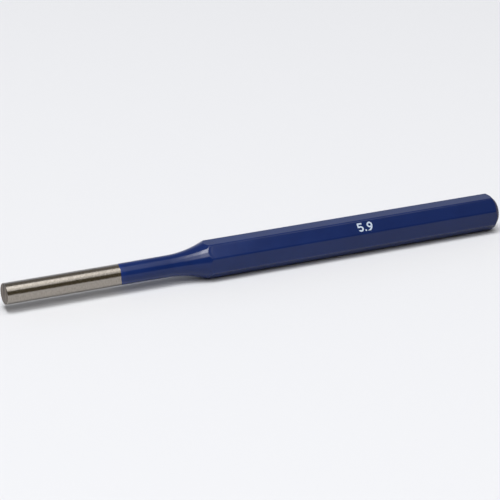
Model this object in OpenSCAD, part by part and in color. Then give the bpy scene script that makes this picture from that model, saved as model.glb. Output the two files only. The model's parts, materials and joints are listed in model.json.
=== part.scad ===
// Pin punch for driving out round pins. One bar of tool steel, ground to a long
// straight pin at one end and left octagonal at the other, is dipped in lacquer
// from the struck end. It lies on one flat of the octagon, with its length along
// X and the tip towards -X. The origin is under the middle of its length.

/* [Bar] */
// Overall length, from the tip to the struck end
punch_length = 150; // [100:1:200]
// Width of the steel octagon across its flats
shank_flats = 9.9; // [8:0.1:14]
// Rounding along the eight corners of the octagon
corner_radius = 0.8; // [0.2:0.1:1.5]

/* [Pin] */
// Diameter of the straight pin that goes into the hole
pin_diameter = 5.9; // [2.9:0.1:7]
// Length of the straight pin, from the tip to the start of the flare
pin_length = 46.8; // [35:0.2:60]
// Radius of the hollow flare between the pin and the octagon
flare_radius = 30.5; // [12:0.5:50]
// Bevel that breaks the sharp edge round the tip
tip_bevel = 0.15; // [0.05:0.05:0.5]

/* [Struck end] */
// Diameter of the flat face that the hammer meets
head_face_diameter = 7.4; // [5:0.1:8]
// Length along the bar of the bevel round that face
head_bevel = 1.6; // [0.5:0.1:5]

/* [Lacquer] */
// Thickness of the lacquer on the steel
coat_thickness = 0.1; // [0.05:0.01:0.2]
// Thickness that it thins to at its edge on the pin
edge_thickness = 0.04; // [0.01:0.01:0.05]
// Length of pin left bare at the tip
bare_length = 33; // [20:0.5:34]

/* [Size mark] */
// Height of the printed numerals
mark_height = 2.6; // [1.5:0.1:3]
// Width of their strokes
mark_stroke = 0.45; // [0.2:0.01:0.6]
// Gap between one numeral and the point
mark_gap = 0.4; // [0.2:0.05:1]
// Distance from the tip to the middle of the mark
mark_place = 106; // [75:0.5:140]
// Thickness of the ink
ink_thickness = 0.03; // [0.02:0.01:0.05]

/* [Hidden] */
$fn = 96;

// The octagon: the turn from one flat to the next, the turn from a flat to a
// corner, and the distance out to the centre of a corner's rounding
flat_count = 8;
flat_step = 360 / flat_count;
corner_turn = flat_step / 2;
corner_centre = (shank_flats / 2 - corner_radius) / cos(corner_turn);
corner_reach = corner_centre + corner_radius;

// The steel stops short of the overall length by the lacquer on its struck end
bar_length = punch_length - coat_thickness;
pin_radius = pin_diameter / 2;
face_radius = head_face_diameter / 2;
bevel_slope = head_bevel / (corner_reach - face_radius);
// Half the shank's width over the lacquer, which is the height of the bar's axis
axis_height = shank_flats / 2 + coat_thickness;
// Radius of the turning blank, clear of the octagon's corners, and an overrun
// for cuts
blank_margin = 0.6;
blank_radius = corner_reach + coat_thickness + blank_margin;
overrun = 1;

// Radii of a numeral's bowl and of the larger circle that its stem follows
bowl_share = 0.33;
stem_share = 0.8;
bowl_radius = mark_height * bowl_share;
stem_radius = mark_height * stem_share;
// Mouth of the five's bowl: how far it reaches above and below the bowl's middle
mouth_share = 0.4;
mouth = bowl_radius * mouth_share;
numeral_step = bowl_radius + mark_gap + mark_stroke / 2;

// Puts what is built up along Z onto the bar's axis, lying along X
module along_bar() {
    translate([-punch_length / 2, 0, axis_height])
        rotate([0, 90, 0])
            children();
}

// Section of the octagon, its surface moved out by skin
module octagon_section(skin) {
    half_side = corner_centre * sin(corner_turn);
    flat = shank_flats / 2 + skin;
    polygon([for (i = [0 : flat_count - 1]) each [
        [flat * cos(i * flat_step) + half_side * sin(i * flat_step),
         flat * sin(i * flat_step) - half_side * cos(i * flat_step)],
        [flat * cos(i * flat_step) - half_side * sin(i * flat_step),
         flat * sin(i * flat_step) + half_side * cos(i * flat_step)]
    ]]);
    for (i = [0 : flat_count - 1])
        rotate(i * flat_step + corner_turn)
            translate([corner_centre, 0])
                circle(r = corner_radius + skin);
}

// Half section of the turned shape, its surface moved out by skin from the flare
// on. The points in front open its outline, from the axis out to the pin's side.
module turned_section(skin, front) {
    end = bar_length + skin;
    face = face_radius + skin * tan(atan(bevel_slope) / 2);
    difference() {
        polygon(concat(front, [
            [pin_radius + skin, pin_length],
            [blank_radius, pin_length],
            [blank_radius, end - (blank_radius - face) * bevel_slope],
            [face, end],
            [0, end]
        ]));
        translate([pin_radius + flare_radius, pin_length])
            circle(r = flare_radius - skin);
    }
}

// The turned shape, cut to the octagon
module punch_form(skin, front) {
    intersection() {
        rotate_extrude() turned_section(skin, front);
        linear_extrude(bar_length + skin + overrun) octagon_section(skin);
    }
}

// The steel by itself, with its flat tip
module steel_form() {
    punch_form(0, [[0, 0], [pin_radius - tip_bevel, 0], [pin_radius, tip_bevel]]);
}

module steel_bar() {
    color("silver")
        along_bar() steel_form();
}

// Skin of lacquer, open towards the tip and closed over the struck end
module lacquer_coat() {
    color("midnightblue")
        along_bar() difference() {
            punch_form(coat_thickness,
                [[0, bare_length], [pin_radius + edge_thickness, bare_length]]);
            steel_form();
        }
}

// Ring of a numeral's stroke
module stroke_ring(radius) {
    difference() {
        circle(r = radius);
        circle(r = radius - mark_stroke);
    }
}

// Numeral five, centred on the origin
module numeral_five() {
    translate([0, bowl_radius - mark_height / 2])
        difference() {
            stroke_ring(bowl_radius);
            translate([-bowl_radius, -mouth])
                square([bowl_radius, 2 * mouth]);
        }
    translate([-bowl_radius, bowl_radius + mouth - mark_height / 2])
        square([mark_stroke, mark_height - bowl_radius - mouth]);
    translate([-bowl_radius, mark_height / 2 - mark_stroke])
        square([2 * bowl_radius - mark_stroke / 2, mark_stroke]);
}

// Numeral nine, centred on the origin: a bowl above, with a stem down to the left
module numeral_nine() {
    rotate(180)
        translate([0, bowl_radius - mark_height / 2]) {
            stroke_ring(bowl_radius);
            intersection() {
                translate([stem_radius - bowl_radius, 0]) stroke_ring(stem_radius);
                translate([-bowl_radius, 0])
                    square([2 * bowl_radius, mark_height - bowl_radius]);
            }
        }
}

// White ink on the flat that faces up and to the front
module size_mark() {
    color("white")
        translate([mark_place - punch_length / 2, 0, axis_height])
            rotate([flat_step, 0, 0])
                translate([0, 0, axis_height])
                    linear_extrude(ink_thickness) {
                        translate([-numeral_step, 0]) numeral_five();
                        translate([-mark_stroke / 2, -mark_height / 2])
                            square(mark_stroke);
                        translate([numeral_step, 0]) numeral_nine();
                    }
}

steel_bar();
lacquer_coat();
size_mark();
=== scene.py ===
import json
import math

import bmesh
import bpy
from mathutils import Matrix, Vector


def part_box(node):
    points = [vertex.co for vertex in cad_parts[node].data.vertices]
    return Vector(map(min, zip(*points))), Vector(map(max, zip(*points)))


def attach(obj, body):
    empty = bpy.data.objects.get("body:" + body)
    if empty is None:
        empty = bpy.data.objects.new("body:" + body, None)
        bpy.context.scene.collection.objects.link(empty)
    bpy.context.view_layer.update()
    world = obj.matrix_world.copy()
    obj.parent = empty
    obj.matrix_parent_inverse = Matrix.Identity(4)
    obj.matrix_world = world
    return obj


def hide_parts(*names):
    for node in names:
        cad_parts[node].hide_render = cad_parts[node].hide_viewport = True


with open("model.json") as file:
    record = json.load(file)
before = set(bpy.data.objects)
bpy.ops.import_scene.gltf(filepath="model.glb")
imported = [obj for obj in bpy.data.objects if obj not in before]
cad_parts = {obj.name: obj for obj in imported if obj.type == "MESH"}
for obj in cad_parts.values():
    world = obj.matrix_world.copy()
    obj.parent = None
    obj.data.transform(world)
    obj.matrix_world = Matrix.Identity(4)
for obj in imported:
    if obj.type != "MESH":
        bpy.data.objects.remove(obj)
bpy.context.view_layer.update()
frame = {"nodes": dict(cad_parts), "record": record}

MM = 0.001

# Camera. It looks down on the side of the punch from near the tip, through a long
# lens. The angles are in degrees and the picture is square.
VIEW_TURN = -25.8
VIEW_DROP = 23.7
VIEW_ROLL = 1.36
VIEW_DISTANCE = 606 * MM
VIEW_AIM = Vector((-3.1 * MM, 0, 5.72 * MM))
FOCAL_LENGTH = 157.4
SENSOR_WIDTH = 36

facing = (
    Matrix.Rotation(math.radians(VIEW_TURN), 4, "Z")
    @ Matrix.Rotation(math.radians(90 - VIEW_DROP), 4, "X")
    @ Matrix.Rotation(math.radians(VIEW_ROLL), 4, "Z")
)
camera = bpy.data.objects.new("camera", bpy.data.cameras.new("camera"))
camera.data.lens = FOCAL_LENGTH
camera.data.sensor_width = SENSOR_WIDTH
camera.matrix_world = Matrix.Translation(VIEW_AIM) @ facing @ Matrix.Translation((0, 0, VIEW_DISTANCE))
bpy.context.scene.collection.objects.link(camera)
bpy.context.scene.camera = camera
bpy.context.scene.view_settings.view_transform = "Standard"

# Steel bar. One bar of hardened tool steel, drawn octagonal, with a straight pin
# and a hollow flare turned and ground at one end. Only the end of the pin stays bare.
steel_bar = frame["nodes"]["steel_bar"]
steel_low, steel_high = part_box("steel_bar")
tip_x = steel_low.x
axis_height = (steel_low.z + steel_high.z) / 2
steel_flat = steel_high.y
pin_mount = next(mount for mount in frame["record"]["mounts"] if mount["name"] == "pin")
pin_radius = pin_mount["dims"]["r_mm"] * MM


def linear(hex_colour):
    """The linear value that a shader takes for an sRGB hex colour."""
    shares = [int(hex_colour[place : place + 2], 16) / 255 for place in (1, 3, 5)]
    light = [share / 12.92 if share <= 0.04045 else ((share + 0.055) / 1.055) ** 2.4 for share in shares]
    return light + [1]


def add_node(tree, kind, settings=(), inputs=(), links=()):
    """Adds a node to a tree, with its settings, its inputs' values and the links into it."""
    node = tree.nodes.new("ShaderNode" + kind)
    for name, value in dict(settings).items():
        setattr(node, name, value)
    for name, value in dict(inputs).items():
        node.inputs[name].default_value = value
    for name, source in dict(links).items():
        tree.links.new(source, node.inputs[name])
    return node


def add_stops(ramp, places, colours):
    """Gives a colour ramp its stops, from their places and their hex colours."""
    stops = ramp.color_ramp.elements
    while len(stops) < len(places):
        stops.new(1)
    for stop, place, colour in zip(stops, places, colours):
        stop.position = place
        stop.color = linear(colour)


def reach_from_axis(tree, places):
    """Distance of each point of a piece from the bar's axis, which lies along X."""
    off_axis = add_node(
        tree, "Mapping",
        inputs={"Scale": (0, 1, 1), "Location": (0, 0, -axis_height)},
        links={"Vector": places},
    )
    reach = add_node(tree, "VectorMath", settings={"operation": "LENGTH"}, links={0: off_axis.outputs[0]})
    return reach.outputs["Value"]


def new_material(name):
    """A material with an empty node tree, and that tree."""
    material = bpy.data.materials.new(name)
    material.use_nodes = True
    material.node_tree.nodes.clear()
    return material, material.node_tree


def wear(piece, material):
    """Gives a piece one material all over."""
    piece.data.materials.clear()
    piece.data.materials.append(material)


# Ground tool steel. A wheel takes the pin down while it turns, which leaves short
# fine lines round it that draw each reflection out and fray its edges. The real lines
# are about 0.05 mm wide, and drawn some four times as coarse, or they would not show.
# The tip is only cut off, so it is duller and darker, with coarser marks across it and
# a painted shade round its rim, for the dark reflection in its narrow edge break.
GRIND_LINE_WIDTH = 0.22 * MM
GRIND_LINE_LENGTH = 0.7 * MM
GRIND_DEPTH = 0.012 * MM
CUT_MARK_WIDTH = 0.45 * MM
CUT_MARK_LENGTH = 5 * MM
CUT_MARK_LEAN = math.radians(11.5)
TIP_FACE_DEPTH = 0.04 * MM
TIP_RIM_WIDTH = 0.3 * MM
MARK_DETAIL = 3
MARK_STOPS = (0.35, 0.65)
GROUND_COLOURS = ("#928C83", "#A59E96")
CUT_COLOURS = ("#403932", "#80766C")
TIP_RIM_SHADE_COLOUR = "#4A433D"
GROUND_ROUGHNESS = 0.22
CUT_ROUGHNESS = 0.5
LINE_STRETCH = 0.5
QUARTER_TURN = 0.25

steel, tree = new_material("ground_tool_steel")
places = add_node(tree, "TexCoord").outputs["Object"]
along = add_node(tree, "SeparateXYZ", links={"Vector": places})
round_pin = add_node(
    tree, "Mapping",
    inputs={"Scale": (1 / GRIND_LINE_WIDTH, 1 / GRIND_LINE_LENGTH, 1 / GRIND_LINE_LENGTH)},
    links={"Vector": places},
)
grind_lines = add_node(
    tree, "TexNoise", inputs={"Scale": 1, "Detail": MARK_DETAIL}, links={"Vector": round_pin.outputs[0]}
)
ground_colour = add_node(tree, "ValToRGB", links={"Fac": grind_lines.outputs["Fac"]})
add_stops(ground_colour, MARK_STOPS, GROUND_COLOURS)
across_tip = add_node(
    tree, "Mapping",
    inputs={"Scale": (0, 1 / CUT_MARK_WIDTH, 1 / CUT_MARK_LENGTH), "Rotation": (CUT_MARK_LEAN, 0, 0)},
    links={"Vector": places},
)
cut_marks = add_node(
    tree, "TexNoise", inputs={"Scale": 1, "Detail": MARK_DETAIL}, links={"Vector": across_tip.outputs[0]}
)
cut_colour = add_node(tree, "ValToRGB", links={"Fac": cut_marks.outputs["Fac"]})
add_stops(cut_colour, MARK_STOPS, CUT_COLOURS)
# Painted shade round the rim of the tip face
at_rim = add_node(
    tree, "MapRange",
    inputs={"From Min": pin_radius - TIP_RIM_WIDTH, "From Max": pin_radius},
    links={"Value": reach_from_axis(tree, places)},
)
tip_colour = add_node(
    tree, "MixRGB", inputs={"Color2": linear(TIP_RIM_SHADE_COLOUR)},
    links={"Fac": at_rim.outputs[0], "Color1": cut_colour.outputs[0]},
)
on_tip = add_node(
    tree, "MapRange",
    inputs={"From Min": tip_x + 2 * TIP_FACE_DEPTH, "From Max": tip_x + TIP_FACE_DEPTH},
    links={"Value": along.outputs["X"]},
)
colour = add_node(
    tree, "MixRGB",
    links={"Fac": on_tip.outputs[0], "Color1": ground_colour.outputs[0], "Color2": tip_colour.outputs[0]},
)
roughness = add_node(
    tree, "MapRange", inputs={"To Min": GROUND_ROUGHNESS, "To Max": CUT_ROUGHNESS},
    links={"Value": on_tip.outputs[0]},
)
relief = add_node(
    tree, "Bump",
    inputs={"Strength": 1, "Distance": GRIND_DEPTH},
    links={"Height": grind_lines.outputs["Fac"]},
)
tangent = add_node(tree, "Tangent", settings={"direction_type": "RADIAL", "axis": "X"})
shader = add_node(
    tree, "BsdfPrincipled",
    inputs={"Metallic": 1, "Anisotropic": LINE_STRETCH, "Anisotropic Rotation": QUARTER_TURN},
    links={
        "Base Color": colour.outputs[0],
        "Roughness": roughness.outputs[0],
        "Normal": relief.outputs[0],
        "Tangent": tangent.outputs[0],
    },
)
add_node(tree, "OutputMaterial", links={"Surface": shader.outputs[0]})
wear(steel_bar, steel)

# Lacquer coat. The punch is dipped head first in dark blue lacquer and hung by its
# pin to drain. The film is a tenth of a millimetre thick over the octagon and the
# struck end, and thins out on the pin to a slanting, slightly wavy edge.

# The sizes of the solid that the film replaces
FLAT_COUNT = 8
CORNER_RADIUS = 0.8 * MM
PIN_LENGTH = 46.8 * MM
FLARE_RADIUS = 30.5 * MM
HEAD_FACE_RADIUS = 3.7 * MM
HEAD_BEVEL = 1.6 * MM
EDGE_THICKNESS = 0.04 * MM

# The edge on the pin. Its slant reaches furthest towards the tip at one turn round the
# pin. Each of its waves has a count round the pin, a height and a start in radians.
EDGE_ROUNDING = 0.15 * MM
EDGE_SLANT = 0.75 * MM
EDGE_SLANT_TURN = math.radians(154)
EDGE_FADE = 6 * MM
EDGE_WAVES = ((3, 0.07 * MM, 0.4), (5, 0.05 * MM, 2.1), (11, 0.025 * MM, 1.0))

# How the film softens the form under it
SHOULDER_SOFTNESS = 0.06 * MM
SHOULDER_DIP_REACH = 0.6 * MM
SHOULDER_DIP_DEPTH = 0.01 * MM
BEVEL_SOFTNESS = 0.08 * MM
FACE_ROUNDING = 0.15 * MM
FACE_ROUNDING_STEPS = 4

# Points round each ring of the film
RING_POINTS = 320

coat_low, coat_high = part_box("lacquer_coat")
coat_thickness = coat_high.y - steel_high.y
bare_length = coat_low.x - tip_x
steel_length = steel_high.x - tip_x
coat_length = steel_length + coat_thickness
flat_step = 2 * math.pi / FLAT_COUNT
corner_centre = (steel_flat - CORNER_RADIUS) / math.cos(flat_step / 2)
corner_reach = corner_centre + CORNER_RADIUS
bevel_slope = HEAD_BEVEL / (corner_reach - HEAD_FACE_RADIUS)


def octagon_radius(turn, skin):
    """From the bar's axis to the octagon, with its surface moved out by a skin."""
    off_flat = abs((turn + flat_step / 2) % flat_step - flat_step / 2)
    off_corner = flat_step / 2 - off_flat
    if off_flat < math.atan2(corner_centre * math.sin(flat_step / 2), steel_flat + skin):
        return (steel_flat + skin) / math.cos(off_flat)
    sideways = corner_centre * math.sin(off_corner)
    return corner_centre * math.cos(off_corner) + math.sqrt((CORNER_RADIUS + skin) ** 2 - sideways**2)


def flare_radius(place, skin):
    """From the axis to the turned pin and flare, at a distance from the tip."""
    past = max(place - PIN_LENGTH, 0)
    return pin_radius + FLARE_RADIUS - math.sqrt(max((FLARE_RADIUS - skin) ** 2 - past**2, 0))


def flare_place(radius):
    """Distance from the tip at which the flare has a radius."""
    return PIN_LENGTH + math.sqrt(FLARE_RADIUS**2 - (FLARE_RADIUS + pin_radius - radius) ** 2)


def bevel_radius(place, skin):
    """From the axis to the bevel of the struck end, at a distance from the tip."""
    face = HEAD_FACE_RADIUS + skin * math.tan(math.atan(bevel_slope) / 2)
    return face + max(steel_length + skin - place, 0) / bevel_slope


def soft_lesser(first, second, softness):
    """The lesser of two radii, with the edge where they meet rounded over."""
    closeness = max(softness - abs(first - second), 0) / softness
    return min(first, second) - closeness**2 * softness / 4


def shoulder_dip(past):
    """How far the film sinks beside the shoulder, which it draws towards as it dries."""
    share = min(max(past / SHOULDER_DIP_REACH, 0), 1)
    return SHOULDER_DIP_DEPTH * (1 - (2 * share - 1) ** 2) ** 2


def film(place):
    """Thickness of the lacquer at a distance from the tip."""
    from_edge = place - bare_length
    rounding = min(from_edge / EDGE_ROUNDING, 1)
    build_up = min(from_edge / (PIN_LENGTH - bare_length), 1)
    edge = EDGE_THICKNESS * math.sqrt(1 - (1 - rounding) ** 2)
    return edge + (coat_thickness - EDGE_THICKNESS) * build_up


def edge_shift(place, turn):
    """How far the slant and waves of the edge move a point along the bar."""
    fade = max(1 - (place - bare_length) / EDGE_FADE, 0)
    slant = -EDGE_SLANT * math.cos(turn - EDGE_SLANT_TURN)
    waves = sum(height * math.sin(count * turn + start) for count, height, start in EDGE_WAVES)
    return fade * (slant + waves)


def places_along(start, *stretches):
    """Places from the start on, for stretches that each have an end and a number of steps."""
    found = [start]
    for end, steps in stretches:
        begin = found[-1]
        found += [begin + (end - begin) * step / steps for step in range(1, steps + 1)]
    return found


shoulder_start = flare_place(steel_flat - 2 * SHOULDER_SOFTNESS)
shoulder_end = flare_place(corner_reach + 2 * SHOULDER_SOFTNESS)
outside = places_along(
    bare_length,
    (bare_length + EDGE_ROUNDING, 6),
    (bare_length + EDGE_FADE, 12),
    (PIN_LENGTH, 6),
    (shoulder_start, 24),
    (shoulder_end, 36),
    (shoulder_end + 3 * SHOULDER_DIP_REACH, 16),
    (coat_length - HEAD_BEVEL - 2 * BEVEL_SOFTNESS, 16),
    (coat_length - HEAD_BEVEL / 2, 24),
    (coat_length, 8),
)
inside = places_along(
    bare_length,
    (bare_length + EDGE_FADE, 6),
    (PIN_LENGTH, 2),
    (shoulder_start, 12),
    (shoulder_end, 12),
    (steel_length - HEAD_BEVEL, 8),
    (steel_length - HEAD_BEVEL / 2, 8),
    (steel_length, 2),
)
rings = [(place, 0) for place in reversed(inside)] + [(place, film(place)) for place in outside[1:]]

# The film is drawn out ring by ring, down its inside to the edge on the pin and back
# up its outside. Both ends are filled over the struck end, where its rim is rounded.
coat = bmesh.new()
ring = bmesh.ops.create_circle(
    coat, segments=RING_POINTS, radius=pin_radius, matrix=Matrix.Rotation(math.pi / 2, 4, "Y")
)["verts"]
inner_rim = ring_edges = list(coat.edges)
for number, (place, skin) in enumerate(rings):
    if number:
        drawn = bmesh.ops.extrude_edge_only(coat, edges=ring_edges)["geom"]
        ring = [item for item in drawn if isinstance(item, bmesh.types.BMVert)]
        ring_edges = [item for item in drawn if isinstance(item, bmesh.types.BMEdge) and item.is_boundary]
    for vertex in ring:
        turn = math.atan2(vertex.co.z, vertex.co.y)
        octagon = octagon_radius(turn, skin)
        flare = flare_radius(place, skin)
        radius = soft_lesser(octagon, flare, SHOULDER_SOFTNESS)
        if skin:
            radius -= shoulder_dip(flare - octagon)
        radius = soft_lesser(radius, bevel_radius(place, skin), BEVEL_SOFTNESS)
        vertex.co = (place + edge_shift(place, turn), radius * math.cos(turn), radius * math.sin(turn))
bmesh.ops.edgeloop_fill(coat, edges=inner_rim)
bmesh.ops.edgeloop_fill(coat, edges=ring_edges)
bmesh.ops.bevel(
    coat, geom=ring_edges, offset=FACE_ROUNDING, affect="EDGES", segments=FACE_ROUNDING_STEPS, profile=0.5,
    material=-1,
)
# The inset keeps the shading of the flat face apart from that of its rounded rim
struck_face = max(coat.faces, key=lambda face: face.calc_center_median().x)
bmesh.ops.inset_individual(coat, faces=[struck_face], thickness=FACE_ROUNDING)
bmesh.ops.recalc_face_normals(coat, faces=coat.faces)
bmesh.ops.translate(coat, verts=coat.verts, vec=(tip_x, 0, axis_height))
for face in coat.faces:
    face.smooth = True
lacquer_coat = bpy.data.objects.new("lacquer_film", bpy.data.meshes.new("lacquer_film"))
coat.to_mesh(lacquer_coat.data)
coat.free()
bpy.context.scene.collection.objects.link(lacquer_coat)

# Cellulose lacquer, dipped and air dried. It is a deep and slightly cloudy blue under
# a clear gloss, and its faint orange peel makes the reflections waver. It is paler at
# the edge, where it thins out. Painted shade deepens it towards the struck end. The
# bevel round the struck face is rough and carries a painted dark reflection. The IOR
# is under the usual 1.5, because the real flats mirror the room only faintly.
PEEL_WIDTH = 0.9 * MM
PEEL_DEPTH = 0.002 * MM
PEEL_DETAIL = 1
SHADE_WIDTH = 7 * MM
SHADE_DETAIL = 2
SHADE_STOPS = (0.3, 0.7)
SHADE_COLOURS = ("#0E2357", "#12285F")
HEAD_PAINTED_SHADE_SHARE = 0.7
HEAD_PAINTED_SHADE_COLOUR = "#0A1C4A"
THIN_LENGTH = 1.2 * MM
THIN_COLOUR = "#182E6C"
BEVEL_PAINTED_SHADE_FADE = 0.06 * MM
BEVEL_PAINTED_SHADE_COLOUR = "#17163D"
GLOSS_ROUGHNESS = 0.12
BEVEL_ROUGHNESS = 0.6
LACQUER_IOR = 1.37

lacquer, tree = new_material("dipped_blue_lacquer")
places = add_node(tree, "TexCoord").outputs["Object"]
along = add_node(tree, "SeparateXYZ", links={"Vector": places})
shade = add_node(
    tree, "TexNoise", inputs={"Scale": 1 / SHADE_WIDTH, "Detail": SHADE_DETAIL}, links={"Vector": places}
)
shade_colour = add_node(tree, "ValToRGB", links={"Fac": shade.outputs["Fac"]})
add_stops(shade_colour, SHADE_STOPS, SHADE_COLOURS)
# Painted shade, which deepens the blue towards the struck end
towards_head = add_node(
    tree, "MapRange",
    inputs={"From Min": tip_x + PIN_LENGTH, "From Max": tip_x + coat_length, "To Max": HEAD_PAINTED_SHADE_SHARE},
    links={"Value": along.outputs["X"]},
)
head_shaded_colour = add_node(
    tree, "MixRGB", inputs={"Color2": linear(HEAD_PAINTED_SHADE_COLOUR)},
    links={"Fac": towards_head.outputs[0], "Color1": shade_colour.outputs[0]},
)
thinness = add_node(
    tree, "MapRange",
    inputs={"From Min": coat_low.x + THIN_LENGTH, "From Max": coat_low.x - EDGE_SLANT},
    links={"Value": along.outputs["X"]},
)
film_colour = add_node(
    tree, "MixRGB", inputs={"Color2": linear(THIN_COLOUR)},
    links={"Fac": thinness.outputs[0], "Color1": head_shaded_colour.outputs[0]},
)
# The bevel is a cone, on which the place along the bar and the reach from its axis,
# times the bevel's slope, add up to the same length everywhere
cone_length = tip_x + coat_length + bevel_slope * bevel_radius(coat_length, coat_thickness)
up_cone = add_node(
    tree, "Math", settings={"operation": "MULTIPLY_ADD"}, inputs={1: bevel_slope},
    links={0: reach_from_axis(tree, places), 2: along.outputs["X"]},
)
on_bevel = add_node(
    tree, "MapRange",
    inputs={"From Min": cone_length - 3 * BEVEL_PAINTED_SHADE_FADE, "From Max": cone_length - BEVEL_PAINTED_SHADE_FADE},
    links={"Value": up_cone.outputs[0]},
)
# Painted dark reflection on the bevel round the struck face, which is also rougher
colour = add_node(
    tree, "MixRGB", inputs={"Color2": linear(BEVEL_PAINTED_SHADE_COLOUR)},
    links={"Fac": on_bevel.outputs[0], "Color1": film_colour.outputs[0]},
)
roughness = add_node(
    tree, "MapRange", inputs={"To Min": GLOSS_ROUGHNESS, "To Max": BEVEL_ROUGHNESS},
    links={"Value": on_bevel.outputs[0]},
)
peel = add_node(
    tree, "TexNoise", inputs={"Scale": 1 / PEEL_WIDTH, "Detail": PEEL_DETAIL}, links={"Vector": places}
)
relief = add_node(
    tree, "Bump", inputs={"Strength": 1, "Distance": PEEL_DEPTH}, links={"Height": peel.outputs["Fac"]}
)
shader = add_node(
    tree, "BsdfPrincipled",
    inputs={"IOR": LACQUER_IOR},
    links={
        "Base Color": colour.outputs[0],
        "Roughness": roughness.outputs[0],
        "Normal": relief.outputs[0],
    },
)
add_node(tree, "OutputMaterial", links={"Surface": shader.outputs[0]})
wear(lacquer_coat, lacquer)
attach(lacquer_coat, "root")
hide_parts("lacquer_coat")

# Size mark. The pin's diameter in plain numerals of white ink, which a silicone pad
# prints on one flat over the lacquer.
size_mark = frame["nodes"]["size_mark"]

# Pad ink. The pad sets it down in one thin layer, so it is satin, not quite opaque,
# and a little uneven.
BLOTCH_WIDTH = 0.5 * MM
BLOTCH_DETAIL = 2
BLOTCH_STOPS = (0.3, 0.6)
INK_COLOURS = ("#A5B4C9", "#C0CDDD")
INK_ROUGHNESS = 0.45

ink, tree = new_material("white_pad_ink")
places = add_node(tree, "TexCoord").outputs["Object"]
blotch = add_node(
    tree, "TexNoise", inputs={"Scale": 1 / BLOTCH_WIDTH, "Detail": BLOTCH_DETAIL}, links={"Vector": places}
)
colour = add_node(tree, "ValToRGB", links={"Fac": blotch.outputs["Fac"]})
add_stops(colour, BLOTCH_STOPS, INK_COLOURS)
shader = add_node(
    tree, "BsdfPrincipled", inputs={"Roughness": INK_ROUGHNESS}, links={"Base Color": colour.outputs[0]}
)
add_node(tree, "OutputMaterial", links={"Surface": shader.outputs[0]})
wear(size_mark, ink)

# Table top. A large sheet of pale matt paper, which is only there to carry the
# punch and its soft shadow.
TABLE_SIZE = 8000 * MM
PAPER_COLOUR = "#DEDFE2"

sheet = bmesh.new()
bmesh.ops.create_grid(sheet, x_segments=1, y_segments=1, size=TABLE_SIZE / 2)
table_top = bpy.data.objects.new("table_top", bpy.data.meshes.new("table_top"))
sheet.to_mesh(table_top.data)
sheet.free()
bpy.context.scene.collection.objects.link(table_top)
paper, tree = new_material("matt_paper")
shader = add_node(tree, "BsdfDiffuse", inputs={"Color": linear(PAPER_COLOUR)})
add_node(tree, "OutputMaterial", links={"Surface": shader.outputs[0]})
wear(table_top, paper)

# Room. A studio with a white band at the horizon, so that low views have a white
# background. The wall behind the punch is pale, and the end in front of it, where
# the camera stands, is dark. Each has its colours at heights from 0 to 1 overhead.
HORIZON = "#F9F9F9"
PALE_WALL = "#C4CBDB"
DARK_WALL = "#5B5340"
CORNER = "#80796E"
CEILING = "#8A8A8A"
HEIGHTS_BEHIND = (0.15, 0.24, 0.46, 0.66, 1)
COLOURS_BEHIND = (HORIZON, PALE_WALL, PALE_WALL, CORNER, CEILING)
HEIGHTS_IN_FRONT = (0.03, 0.06, 0.6, 0.76, 1)
COLOURS_IN_FRONT = (HORIZON, DARK_WALL, DARK_WALL, CEILING, CEILING)
WALL_BLEND = 0.2

room = bpy.data.worlds.new("studio")
room.use_nodes = True
room.node_tree.nodes.clear()
bpy.context.scene.world = room
tree = room.node_tree
direction = add_node(tree, "TexCoord")
parts = add_node(tree, "SeparateXYZ", links={"Vector": direction.outputs["Generated"]})
wall_in_front = add_node(tree, "ValToRGB", links={"Fac": parts.outputs["Z"]})
add_stops(wall_in_front, HEIGHTS_IN_FRONT, COLOURS_IN_FRONT)
wall_behind = add_node(tree, "ValToRGB", links={"Fac": parts.outputs["Z"]})
add_stops(wall_behind, HEIGHTS_BEHIND, COLOURS_BEHIND)
depth = add_node(
    tree, "MapRange",
    inputs={"From Min": -WALL_BLEND, "From Max": WALL_BLEND},
    links={"Value": parts.outputs["Y"]},
)
light = add_node(
    tree, "MixRGB",
    links={"Fac": depth.outputs[0], "Color1": wall_in_front.outputs[0], "Color2": wall_behind.outputs[0]},
)
shader = add_node(tree, "Background", links={"Color": light.outputs[0]})
add_node(tree, "OutputWorld", links={"Surface": shader.outputs[0]})

# Soft boxes. A broad one overhead and a slimmer one lower down in front. Each has its
# lamp over the tip, so it is drawn as strips along X, with starts, ends and widths in
# metres and levels where 1 is the picture's white. The tilts are degrees to the front.
BOX_DISTANCE = 2400 * MM
BROAD_TILT = 9
BROAD_BOX = (
    (-1.06, -0.36, 1.0, 14),
    (-0.36, -0.08, 0.96, 6.7),
    (-0.08, 0.24, 1.0, 4.8),
    (0.24, 0.52, 1.28, 2.5),
    (0.52, 0.84, 1.44, 1.55),
    (0.84, 1.06, 1.56, 0.85),
    (1.06, 1.4, 1.0, 1.6),
)
SLIM_TILT = 34.5
SLIM_BOX = (
    (-1.1, -0.42, 1.12, 4.4),
    (-0.42, -0.08, 1.12, 2.75),
    (-0.08, 0.24, 1.12, 2.1),
    (0.24, 0.9, 0.84, 1.3),
)

for tilt, strips in ((BROAD_TILT, BROAD_BOX), (SLIM_TILT, SLIM_BOX)):
    box = Matrix.Rotation(math.radians(tilt), 4, "X") @ Matrix.Translation((0, 0, BOX_DISTANCE))
    for start, end, width, level in strips:
        strip = bpy.data.lights.new("soft_box_strip", "AREA")
        strip.shape = "RECTANGLE"
        strip.size = end - start
        strip.size_y = width
        strip.energy = level * math.pi * strip.size * strip.size_y
        lamp = bpy.data.objects.new("soft_box_strip", strip)
        lamp.matrix_world = box @ Matrix.Translation(((start + end) / 2, 0, 0))
        bpy.context.scene.collection.objects.link(lamp)
